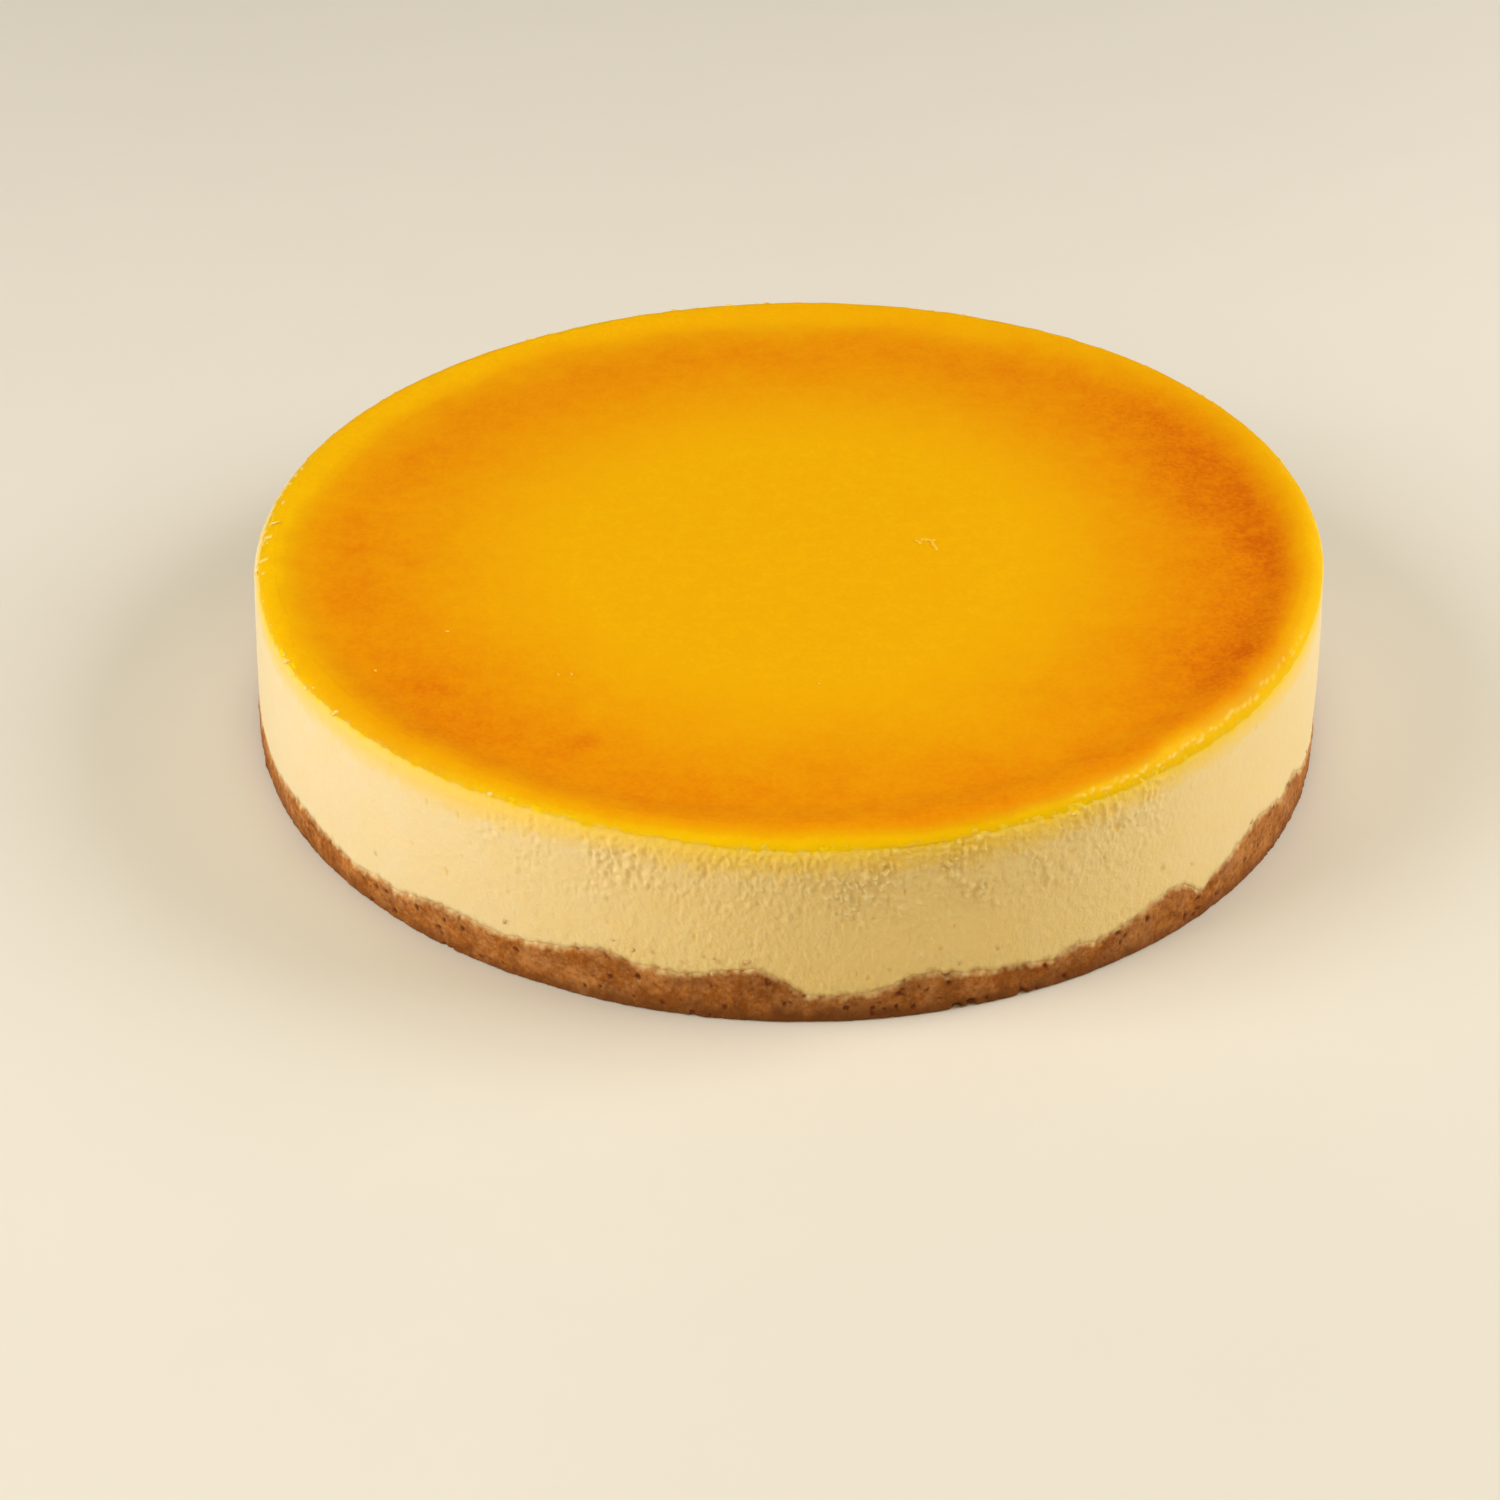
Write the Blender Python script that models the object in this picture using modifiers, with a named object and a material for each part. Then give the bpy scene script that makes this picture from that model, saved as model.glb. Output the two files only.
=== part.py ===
"""Baked cheesecake: a round, set cheese filling that stands on a pressed biscuit crumb base.

Both layers are turned discs that run through the whole cake. The filling has steep sides
from its tin that draw in a little towards a rounded lip, and a top that sinks towards the
middle. The crumb was pressed by hand, so its upper line rises and falls, and the top leans.
"""

import math

import bmesh
import bpy

# Driving sizes, in metres.
CAKE_RADIUS = 0.120
CRUMB_HEIGHT = 0.0088
WALL_HEIGHT = 0.0402        # from the underside to the start of the rounded shoulder
SHOULDER_RADIUS = 0.0046
LIP_SLOPE_WIDTH = 0.0085    # from the crest of the lip in to its foot
LIP_HEIGHT = 0.0013         # of the crest over its foot
DISH_DEPTH = 0.0019         # of the middle under the foot of the lip
LAYER_GAP = 0.0003          # left between the two layers
BOTTOM_EDGE = 0.0012        # small round at the bottom of the crumb
UNDERSIDE_RADIUS = CAKE_RADIUS - BOTTOM_EDGE
WALL_DRAW_IN = 0.0003       # the filling shrinks a little from its tin
WALL_RADIUS = CAKE_RADIUS - WALL_DRAW_IN
WALL_TAPER = 0.0011         # how much narrower its side gets from the crumb up to the shoulder
TAPER_BEND = 1.5            # over 1, the side curves in more as it rises

# How finely the turned shapes are stepped.
TURN_STEPS = 120
WALL_ROWS = 3
SHOULDER_STEPS = 3
DISH_ROWS = 5
LAYER_RADII = (0.35, 0.70, 0.90)    # rings where the layers meet, as parts of the radius

# The top leans: its crest is high on the +X side and low on the -X side.
LEAN_SIDE = 0.0034
LEAN_FRONT = 0.0003
LEAN_FOLD = 0.0012          # twice round, high to the left and right
LEAN_SKEW = 0.00045         # twice round, high between the others
TOP_SHIFT = -0.0004         # along X, where the top sits over the crumb

# The sides are out of round by this much, twice and four times round.
OVAL = 0.0003
SQUARENESS = 0.0002

# Where the crumb was pressed higher or lower: bearing in degrees from +X, half width in
# degrees, rise in metres.
CRUMB_SWELLS = (
    (-31, 9, 0.0042),
    (-42, 3, -0.0022),
    (-48, 4, 0.0026),
    (-62, 8, -0.0020),
    (-85, 5, -0.0030),
    (-95, 6, 0.0026),
    (-109, 5, 0.0032),
    (-150, 22, -0.0024),
    (170, 10, -0.0030),
    (148, 12, 0.0014),
    (121, 9, -0.0018),
    (96, 12, 0.0022),
    (70, 8, -0.0016),
    (44, 11, 0.0018),
    (18, 9, -0.0014),
    (-9, 9, -0.0020),
)
SWELL_REACH = 0.35          # the swells fade out this far in from the side


def clear_scene():
    for existing in list(bpy.data.objects):
        bpy.data.objects.remove(existing, do_unlink=True)


def smooth(value):
    """0 below 0, 1 above 1, with a soft start and end."""
    held = min(max(value, 0.0), 1.0)
    return held * held * (3.0 - 2.0 * held)


def level(bearing, reach):
    return 0.0


def crumb_rise(bearing, reach):
    """How far the crumb's top stands over CRUMB_HEIGHT, at a bearing and a part of the radius."""
    rise = 0.0
    for centre, half_width, height in CRUMB_SWELLS:
        away = (math.degrees(bearing) - centre + 180.0) % 360.0 - 180.0
        rise += height * math.exp(-((away / half_width) ** 2))
    return rise * smooth((reach - 1.0 + SWELL_REACH) / SWELL_REACH)


def top_rise(bearing, reach):
    """How far the leaning top stands over its level form, at a bearing and a part of the radius."""
    side = LEAN_SIDE * math.cos(bearing)
    front = -LEAN_FRONT * math.sin(bearing)
    twice = LEAN_FOLD * math.cos(2.0 * bearing) + LEAN_SKEW * math.sin(2.0 * bearing)
    return reach * (side + front + twice)


def out_of_round(bearing):
    return OVAL * math.cos(2.0 * bearing) + SQUARENESS * math.cos(4.0 * bearing)


def split_quads(mesh):
    """Splits each quad on its shorter diagonal, so that layers that face each other agree."""
    shape = bmesh.new()
    shape.from_mesh(mesh)
    bmesh.ops.triangulate(shape, faces=shape.faces[:], quad_method="SHORT_EDGE")
    shape.to_mesh(mesh)
    shape.free()


def settle(mesh, low, high, low_rise, high_rise, shift=0.0):
    """Makes an even disc uneven: its points near the heights low and high rise by each rule.

    The points at the height high also move along X by the shift.
    """
    for vertex in mesh.vertices:
        x, y, z = vertex.co
        bearing = math.atan2(y, x)
        reach = math.hypot(x, y) / CAKE_RADIUS
        share = (z - low) / (high - low)
        lower = (1.0 - share) * low_rise(bearing, reach)
        upper = share * high_rise(bearing, reach)
        grow = 1.0 + out_of_round(bearing) / CAKE_RADIUS
        vertex.co = (x * grow + share * shift, y * grow, z + lower + upper)
    split_quads(mesh)


def turned_disc(name, profile):
    """Turns a profile, from the axis over the top and down the outside to the axis again."""
    outline = bpy.data.meshes.new(name + "_outline")
    edges = [(i, i + 1) for i in range(len(profile) - 1)]
    outline.from_pydata([(radius, 0.0, height) for radius, height in profile], edges, [])
    turned = bpy.data.objects.new(name + "_outline", outline)
    bpy.context.scene.collection.objects.link(turned)
    screw = turned.modifiers.new("Turn", "SCREW")
    screw.axis = "Z"
    screw.angle = math.tau
    screw.steps = TURN_STEPS
    screw.render_steps = TURN_STEPS
    screw.use_merge_vertices = True
    screw.merge_threshold = 0.00005
    graph = bpy.context.evaluated_depsgraph_get()
    mesh = bpy.data.meshes.new_from_object(turned.evaluated_get(graph))
    mesh.name = name
    bpy.data.objects.remove(turned, do_unlink=True)
    return mesh


def food_material(name, colour, roughness):
    material = bpy.data.materials.new(name)
    material.use_nodes = True
    shader = material.node_tree.nodes["Principled BSDF"]
    shader.inputs["Base Color"].default_value = (*colour, 1.0)
    shader.inputs["Roughness"].default_value = roughness
    shader.inputs["Metallic"].default_value = 0.0
    return material


def add_layer(name, mesh, material, collection):
    layer = bpy.data.objects.new(name, mesh)
    mesh.materials.append(material)
    mesh.shade_smooth()
    mesh.set_sharp_from_angle(angle=math.radians(50))
    collection.objects.link(layer)
    return layer


def crumb_profile():
    """Down the outside of the crumb base, from the middle of its top to the middle below."""
    top = CRUMB_HEIGHT - LAYER_GAP
    profile = [(0.0, top)]
    profile += [(CAKE_RADIUS * part, top) for part in LAYER_RADII]
    profile += [(WALL_RADIUS, top), (CAKE_RADIUS, top - WALL_DRAW_IN)]
    profile += [(CAKE_RADIUS, (top + BOTTOM_EDGE) / 2.0), (CAKE_RADIUS, BOTTOM_EDGE)]
    profile += [(CAKE_RADIUS - BOTTOM_EDGE * 0.3, BOTTOM_EDGE * 0.3)]
    profile += [(UNDERSIDE_RADIUS, 0.0), (0.0, 0.0)]
    return profile


def filling_profile():
    """Down the outside of the filling, from the sunk middle of its top to the middle below."""
    shoulder_reach = WALL_RADIUS - WALL_TAPER
    crest_radius = shoulder_reach - SHOULDER_RADIUS
    crest_height = WALL_HEIGHT + SHOULDER_RADIUS
    foot_radius = crest_radius - LIP_SLOPE_WIDTH
    foot_height = crest_height - LIP_HEIGHT
    profile = []
    for row in range(DISH_ROWS + 1):
        part = row / DISH_ROWS
        sink = DISH_DEPTH * (1.0 - smooth(part))
        profile.append((foot_radius * part, foot_height - sink))
    middle_radius = (foot_radius + crest_radius) / 2.0
    profile.append((middle_radius, crest_height - LIP_HEIGHT * 0.4))
    for step in range(SHOULDER_STEPS + 1):
        turn = math.radians(90.0 * (1.0 - step / SHOULDER_STEPS))
        out = crest_radius + SHOULDER_RADIUS * math.cos(turn)
        up = WALL_HEIGHT + SHOULDER_RADIUS * math.sin(turn)
        profile.append((out, up))
    for row in range(1, WALL_ROWS + 1):
        part = row / WALL_ROWS
        radius = WALL_RADIUS - WALL_TAPER * (1.0 - part) ** TAPER_BEND
        profile.append((radius, WALL_HEIGHT + (CRUMB_HEIGHT - WALL_HEIGHT) * part))
    profile += [(CAKE_RADIUS * part, CRUMB_HEIGHT) for part in reversed(LAYER_RADII)]
    profile.append((0.0, CRUMB_HEIGHT))
    return profile


def make_crumb_base(collection):
    mesh = turned_disc("crumb_base", crumb_profile())
    settle(mesh, 0.0, CRUMB_HEIGHT - LAYER_GAP, level, crumb_rise)
    material = food_material("biscuit_crumb", (0.42, 0.19, 0.055), 0.9)
    return add_layer("crumb_base", mesh, material, collection)


def make_cheese_filling(collection):
    mesh = turned_disc("cheese_filling", filling_profile())
    crest_height = WALL_HEIGHT + SHOULDER_RADIUS
    settle(mesh, CRUMB_HEIGHT, crest_height, crumb_rise, top_rise, TOP_SHIFT)
    material = food_material("baked_cheese", (0.91, 0.62, 0.22), 0.5)
    return add_layer("cheese_filling", mesh, material, collection)


def main():
    clear_scene()
    collection = bpy.data.collections.new("baked_cheesecake")
    bpy.context.scene.collection.children.link(collection)
    make_crumb_base(collection)
    make_cheese_filling(collection)


main()
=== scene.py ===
import math

import bmesh
import bpy
import numpy as np
from mathutils import Matrix, Vector, noise


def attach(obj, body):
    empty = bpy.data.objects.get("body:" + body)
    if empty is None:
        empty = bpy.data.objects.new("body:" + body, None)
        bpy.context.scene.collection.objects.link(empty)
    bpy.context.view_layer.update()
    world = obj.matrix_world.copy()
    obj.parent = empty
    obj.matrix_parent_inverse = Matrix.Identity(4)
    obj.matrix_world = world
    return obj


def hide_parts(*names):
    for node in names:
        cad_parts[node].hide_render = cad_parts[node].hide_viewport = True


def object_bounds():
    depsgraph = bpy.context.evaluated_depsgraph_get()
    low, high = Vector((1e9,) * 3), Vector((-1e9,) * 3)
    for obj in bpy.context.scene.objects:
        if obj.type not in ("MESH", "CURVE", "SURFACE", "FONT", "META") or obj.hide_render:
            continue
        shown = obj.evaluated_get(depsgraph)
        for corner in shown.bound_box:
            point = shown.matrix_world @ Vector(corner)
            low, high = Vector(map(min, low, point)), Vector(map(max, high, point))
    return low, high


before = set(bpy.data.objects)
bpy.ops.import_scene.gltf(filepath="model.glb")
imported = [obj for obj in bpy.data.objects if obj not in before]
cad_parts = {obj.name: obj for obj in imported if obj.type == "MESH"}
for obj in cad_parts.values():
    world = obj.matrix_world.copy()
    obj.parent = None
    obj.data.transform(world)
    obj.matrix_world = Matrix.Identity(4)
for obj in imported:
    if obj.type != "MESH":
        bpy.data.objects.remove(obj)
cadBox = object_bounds()
mm = 0.001
fullTurn = 2 * math.pi
spokeDegrees = 3                # between the points of the solids' rings


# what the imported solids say

def solidPoints(node):
    points = np.array([v.co[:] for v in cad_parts[node].data.vertices])
    return points, np.hypot(points[:, 0], points[:, 1])


def curveRound(points, values):
    # the greatest value on each spoke of the solid, joined to a curve round the cake
    spokes = np.degrees(np.arctan2(points[:, 1], points[:, 0])) / spokeDegrees
    bearings = np.round(spokes) * spokeDegrees % 360
    stops = np.unique(bearings)
    picked = np.array([np.max(values[bearings == stop]) for stop in stops])
    return lambda at: np.interp(np.degrees(at) % 360, stops, picked, period=360)


def heightRound(node, innermost):
    points, reach = solidPoints(node)
    outer = reach > innermost
    return curveRound(points[outer], points[outer, 2])


def reachRound(node, innermost):
    points, reach = solidPoints(node)
    outer = reach > innermost
    return curveRound(points[outer], reach[outer])


def shoulderReach(drop, slack):
    # the radius of the filling where its side meets the rounded lip, a drop under the crest
    points, reach = solidPoints("cheese_filling")
    under = crestRound(np.arctan2(points[:, 1], points[:, 0])) - points[:, 2]
    meeting = (np.abs(under - drop) < slack) & (reach > nearSide)
    return curveRound(points[meeting], reach[meeting])


cakeRadius = (cadBox[1].x - cadBox[0].x) / 2
nearSide = 0.96 * cakeRadius
crestRound = heightRound("cheese_filling", 0.8 * nearSide)
wallRound = reachRound("cheese_filling", nearSide)
lineRound = heightRound("crumb_base", nearSide)
footRound = reachRound("crumb_base", nearSide)
everyBearing = np.linspace(0, fullTurn, 720, endpoint=False)
meanCrest = float(crestRound(everyBearing).mean())
meanLine = float(lineRound(everyBearing).mean())
fillingPoints, fillingReach = solidPoints("cheese_filling")
middleHeight = float(fillingPoints[fillingReach < 0.01 * cakeRadius, 2].max())
print("frame read: radius %.4f, crest %.4f, middle %.4f" % (cakeRadius, meanCrest, middleHeight))


# small sums used by every piece

def soft(value):
    held = np.clip(value, 0.0, 1.0)
    return held * held * (3.0 - 2.0 * held)


def startingAt(value, startAndRun):
    # 0 up to a start, then softly up to 1 over a run
    start, run = startAndRun
    return soft((value - start) / run)


def bell(value):
    return np.exp(-value * value)


def degreesAway(bearing, centre):
    return (np.degrees(bearing) - centre + 180.0) % 360.0 - 180.0


def mmAround(bearing, centre):
    # how far round the side a bearing is from a centre in degrees
    return np.radians(degreesAway(bearing, centre)) * cakeRadius / mm


def arcs(bearing, stretches):
    # adds up soft stretches round the cake: centre and half width in degrees, strength
    total = np.zeros_like(bearing)
    for centre, halfWidth, strength in stretches:
        total = total + strength * bell(degreesAway(bearing, centre) / halfWidth)
    return total


def oval(bearing, height, centre, level, wide, tall, edge):
    # 1 in the middle of an oval spot on the side, 0 past it: centre in degrees, the rest in mm;
    # a larger edge gives a sharper one
    rise = (height / mm - level) / tall
    return np.exp(-((mmAround(bearing, centre) / wide) ** 2 + rise ** 2) ** edge)


def polar(bearing, radius, height):
    radius = np.broadcast_to(radius, bearing.shape)
    height = np.broadcast_to(height, bearing.shape)
    return np.stack([radius * np.cos(bearing), radius * np.sin(bearing), height], -1)


def noiseAt(points, size, seed, tall=1.0):
    # tall stretches it upwards
    spots = points / (np.array([1.0, 1.0, tall]) * size) + seed
    found = [noise.noise(spot) for spot in spots.reshape(-1, 3).tolist()]
    return np.array(found).reshape(points.shape[:-1])


def waves(points, layers, unit=mm):
    # adds up layers of noise: strength, size in mm, seed and, in some, how much it is stretched
    return sum(strength * unit * noiseAt(points, size * mm, seed, *tall)
               for strength, size, seed, *tall in layers)


def wavesRound(bearing, layers):
    return waves(polar(bearing, cakeRadius, 0.0), layers)


def oneBearing(degrees):
    return np.array([math.radians(degrees)])


# the run of the side, shared by the layers

lipInfo = {
    "shoulder": 4.6 * mm,       # radius of the rounded lip
    "slack": 0.9 * mm,          # for finding its lower end on the solid
    "rounder": (-76, 46, 1.7),  # more there: bearing, half width, mm
    "slope": 8.5 * mm,          # from its crest in to its foot
    "height": 1.4 * mm,         # of the crest over the foot
    "crestWaves": [(0.12, 14, 4.1)],
    "bend": 1.5,                # over 1, the side draws in more near the lip
    "stop": 4.8 * mm,           # along the profile from the crest to where the skin stops
    "stopArcs": [(-112, 18, -0.9), (-70, 22, 0.8), (-40, 14, 0.5), (-30, 20, 1.4), (88, 60, -2.6),
                 (172, 17, -1.9)],      # in mm
    "stopRounder": 0.75,        # how much of the extra radius the skin runs on over
    "stopWaves": [(0.30, 11, 1.7), (0.30, 3.1, 8.2), (0.24, 1.2, 3.6)],
    # where the lip is moist and shines
    "wetArcs": [(-41, 15, 1.15), (-19, 5, 0.8), (172, 14, 0.25), (60, 30, 0.2)],
}
skinInfo = {
    "torn": [(0.70, 2.2, 12.5), (0.40, 0.9, 13.5)],     # waves that tear its end
    "bleed": 12.2 * mm,         # where the skin's colour has quite gone from the cream
    "bleedArcs": [(-20, 16, 1.2), (-176, 11, -6.5), (-128, 10, 0.5), (-110, 9, -2.0),
                  (-72, 8, 0.8)],       # in mm
    "bleedRounder": 0.6,        # how much of the lip's extra radius it goes on over
    "bleedBend": 1.6,           # over 1, the colour goes slowly at first
    "step": 0.30,               # share of the colour that is lost right at the skin's edge
    "stepArcs": [(95, 62, 0.5), (172, 14, 0.2)],        # and more of it there
    "mostStep": 0.85,
    "stepWidth": 1.3 * mm,
    "softArcs": [(-158, 16, 1.4), (-28, 18, 1.6)],      # wider there, in mm
    # where the cream is painted a deeper, warmer tone: partly the rough baked stretches of the side, partly
    # painted warm bounce light on the near side
    "deepAndBounceArcs": [(-82, 40, 1.0), (-22, 32, 0.35), (95, 40, 0.8)],
}
lineInfo = {
    "lift": 0.5 * mm,           # of the crumb's drawn line over the solid's
    "spread": 2.0,              # degrees over which the solid's line is rounded off
    "arcs": [(-149, 5, 1.6), (-125, 4, 1.8), (-108, 2.5, 1.4), (-92.5, 3, 1.8), (-88, 1.6, -0.8),
             (-76, 3, 1.2), (-60, 1.6, 1.2), (-48, 2.6, 1.2), (-43, 1.3, -2.6), (-33, 2.0, 1.2),
             (-23, 2.4, 2.2), (-27, 1.5, -1.0)],        # in mm
    "waves": [(0.5, 9, 7.7), (0.5, 3.2, 2.3), (0.3, 1.3, 5.9)],
    "blur": 1.4 * mm,           # half the height in which crumb gives way to cream
    "torn": [(0.9, 1.9, 15.5), (0.6, 0.8, 16.5)],
    "levelTo": 0.65,            # share of the radius out to which the hidden top is level
}


def crestHeight(bearing):
    return crestRound(bearing) + wavesRound(bearing, lipInfo["crestWaves"])


def crumbLine(bearing):
    near = math.radians(lineInfo["spread"])
    level = (lineRound(bearing - near) + 2 * lineRound(bearing) + lineRound(bearing + near)) / 4
    level = level + lineInfo["lift"] + mm * arcs(bearing, lineInfo["arcs"])
    return level + wavesRound(bearing, lineInfo["waves"])


def crumbShare(aboveLine, place):
    # how much of the crumb shows through near its upper line: half at the line itself
    return 1 - soft(0.5 + (aboveLine + waves(place, lineInfo["torn"])) / (2 * lineInfo["blur"]))


def baseTop(bearing, reach):
    # the hidden top of the crumb: level in the middle, rising and falling near the side
    nearEdge = soft((reach / cakeRadius - lineInfo["levelTo"]) / (1 - lineInfo["levelTo"]))
    return meanLine + (lineRound(bearing) - meanLine) * nearEdge


shoulderRound = shoulderReach(lipInfo["shoulder"], lipInfo["slack"])


def extraRadius(bearing):
    # how much rounder the lip is than elsewhere
    centre, halfWidth, more = lipInfo["rounder"]
    return more * mm * bell(degreesAway(bearing, centre) / halfWidth)


def lipRadius(bearing):
    return lipInfo["shoulder"] + extraRadius(bearing)


def crestReach(bearing):
    return shoulderRound(bearing) - lipRadius(bearing)


def stopArc(bearing):
    # how far along the profile from the crest the skin runs, with its torn edge
    arc = lipInfo["stop"] + mm * arcs(bearing, lipInfo["stopArcs"])
    arc = arc + lipInfo["stopRounder"] * extraRadius(bearing)
    return arc + wavesRound(bearing, lipInfo["stopWaves"])


def sidePoint(bearing, arc, proud):
    # the point at a length along the profile from the crest, and its outward direction
    shoulder = lipRadius(bearing)
    turn = np.clip(arc / shoulder, 0, math.pi / 2)
    below = np.maximum(arc - shoulder * math.pi / 2, 0)
    out = np.sin(turn)
    up = np.cos(turn)
    meeting = crestHeight(bearing) - shoulder
    height = meeting + (shoulder + proud) * up - below
    rise = np.clip((height - lineRound(bearing)) / (meeting - lineRound(bearing)), 0, 1)
    drawn = (shoulderRound(bearing) - wallRound(bearing)) * rise ** lipInfo["bend"]
    radius = wallRound(bearing) + drawn - shoulder + (shoulder + proud) * out
    return radius, height, out, up


def arcDownTo(bearing, height):
    # how far along the profile a height on the straight part of the side is
    return lipRadius(bearing) * (math.pi / 2 - 1) + crestHeight(bearing) - height


def skinShare(bearing, arc, place):
    # how much of the skin's colour a point of the lip or the side has
    info = skinInfo
    torn = waves(place, info["torn"])
    past = arc - stopArc(bearing) + torn
    gone = info["bleed"] + info["bleedRounder"] * extraRadius(bearing) + mm * arcs(bearing, info["bleedArcs"])
    faded = np.clip(past / (gone - stopArc(bearing) + 4 * torn), 0, 1) ** info["bleedBend"]
    width = info["stepWidth"] + mm * arcs(bearing, info["softArcs"])
    step = np.clip(info["step"] + arcs(bearing, info["stepArcs"]), 0, info["mostStep"])
    return (1 - faded) * (1 - step * soft(past / width + 0.25))


# the deeper cream tone: partly the cream's own, partly painted warm bounce light on the near side
def deepToneAndWarmBounce(bearing):
    return np.clip(arcs(bearing, skinInfo["deepAndBounceArcs"]), 0, 1)


def wetLip(bearing):
    return np.clip(arcs(bearing, lipInfo["wetArcs"]), 0, 1)


# making meshes from rings

gridInfo = {"dense": -85, "pull": 0.5}     # the bearing with the finest steps, and how much finer


def bearings(count):
    # steps round the cake, closest together on the near side
    turn = np.arange(count) * (fullTurn / count) - math.pi
    return math.radians(gridInfo["dense"]) + turn - gridInfo["pull"] * np.sin(turn)


def startRings(**first):
    # gathers a piece's rings and the numbers painted on its points, from its first point on
    rings = []
    painted = {key: [number] for key, number in first.items()}

    def addRing(points, **numbers):
        rings.append(points)
        for key, held in painted.items():
            held.extend(np.broadcast_to(numbers.get(key, 0.0), len(points)).tolist())

    return rings, painted, addRing


def joinRings(rings, painted, firstPoint, lastPoint):
    # rings run from the middle of the top over the side to the middle below; a ring may
    # hold half or twice as many points as the one before it
    points = [np.array([firstPoint])]
    faces = []
    start = 1
    previous = None
    for ring in rings:
        count = len(ring)
        here = start + np.arange(count)
        nextOne = np.roll(here, -1)
        if previous is None:
            zero = np.zeros(count, int)
            faces += np.stack([zero, here, nextOne], -1).tolist()
        elif len(previous) == count:
            faces += np.stack([previous, here, nextOne, np.roll(previous, -1)], -1).tolist()
        elif len(previous) * 2 == count:
            beforeNext = np.roll(previous, -1)
            a, b, c = here[0::2], here[1::2], nextOne[1::2]
            faces += np.stack([previous, a, b], -1).tolist()
            faces += np.stack([previous, b, beforeNext], -1).tolist()
            faces += np.stack([beforeNext, b, c], -1).tolist()
        else:
            a, b, c = previous[0::2], previous[1::2], np.roll(previous, -1)[1::2]
            faces += np.stack([a, here, b], -1).tolist()
            faces += np.stack([b, here, nextOne], -1).tolist()
            faces += np.stack([b, nextOne, c], -1).tolist()
        points.append(ring)
        previous = here
        start += count
    points.append(np.array([lastPoint]))
    end = np.full(len(previous), start)
    faces += np.stack([previous, end, np.roll(previous, -1)], -1).tolist()
    for numbers in painted.values():
        numbers.append(numbers[-1])
    return np.concatenate(points), faces


def makePiece(name, points, faces, material, painted):
    mesh = bpy.data.meshes.new(name)
    mesh.from_pydata(points.tolist(), [], faces)
    mesh.validate()
    for key, numbers in painted.items():
        layer = mesh.attributes.new(key, "FLOAT", "POINT")
        layer.data.foreach_set("value", np.asarray(numbers, np.float32))
    mesh.materials.append(material)
    mesh.shade_smooth()
    mesh.set_sharp_from_angle(angle=math.radians(70))
    piece = bpy.data.objects.new(name, mesh)
    bpy.context.scene.collection.objects.link(piece)
    return piece


# shader building

def newMaterial(name):
    material = bpy.data.materials.new(name)
    material.use_nodes = True
    tree = material.node_tree
    return material, tree, tree.nodes["Principled BSDF"]


def feed(tree, node, values):
    # joins another node's output to an input, or sets a number or a colour on it
    for key, value in values.items():
        socket = node.inputs[key]
        if isinstance(value, bpy.types.NodeSocket):
            tree.links.new(value, socket)
        else:
            socket.default_value = (*value, 1.0) if socket.type == "RGBA" else value


def addNode(tree, kind, inputs=None, **settings):
    node = tree.nodes.new(kind)
    for key, value in settings.items():
        setattr(node, key, value)
    feed(tree, node, inputs or {})
    return node


def mathNode(tree, operation, first, second, clamp=False):
    return addNode(tree, "ShaderNodeMath", {0: first, 1: second}, operation=operation,
                   use_clamp=clamp).outputs[0]


def mixColours(tree, mask, first, second):
    node = addNode(tree, "ShaderNodeMix", data_type="RGBA", clamp_factor=True)
    feed(tree, node, {0: mask, 6: first, 7: second})
    return node.outputs[2]


def colourRamp(tree, value, stops):
    ramp = addNode(tree, "ShaderNodeValToRGB", {"Fac": value})
    elements = ramp.color_ramp.elements
    elements[0].position, elements[1].position = stops[0][0], stops[-1][0]
    for position, colour in stops[1:-1]:
        elements.new(position)
    for element, (position, colour) in zip(elements, stops):
        element.color = (*colour, 1)
    return ramp.outputs["Color"]


def paintedValue(tree, name):
    return addNode(tree, "ShaderNodeAttribute", attribute_name=name).outputs["Fac"]


def ownPlace(tree):
    return addNode(tree, "ShaderNodeTexCoord").outputs["Object"]


def newGroup(name, inputs, outputs):
    # gives the group, what it is given and the node that takes what it makes
    group = bpy.data.node_groups.new(name, "ShaderNodeTree")
    group.interface.new_socket("Vector", in_out="INPUT", socket_type="NodeSocketVector")
    for key, value in inputs.items():
        socket = group.interface.new_socket(key, in_out="INPUT", socket_type="NodeSocketFloat")
        socket.default_value = value
    for key in outputs:
        group.interface.new_socket(key, in_out="OUTPUT", socket_type="NodeSocketFloat")
    return group, addNode(group, "NodeGroupInput").outputs, addNode(group, "NodeGroupOutput")


def twoNoises(group, given, share, first, second):
    # mixes a broad and a fine noise: each has a size, detail and roughness
    broad, fine = [
        addNode(group, "ShaderNodeTexNoise", {
            "Vector": given["Vector"], "Scale": given[size], "Detail": detail, "Roughness": roughness})
        for size, detail, roughness in (first, second)]
    both = addNode(group, "ShaderNodeMix", data_type="FLOAT")
    feed(group, both, {0: given[share], 2: broad.outputs["Fac"], 3: fine.outputs["Fac"]})
    return both.outputs[0]


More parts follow.
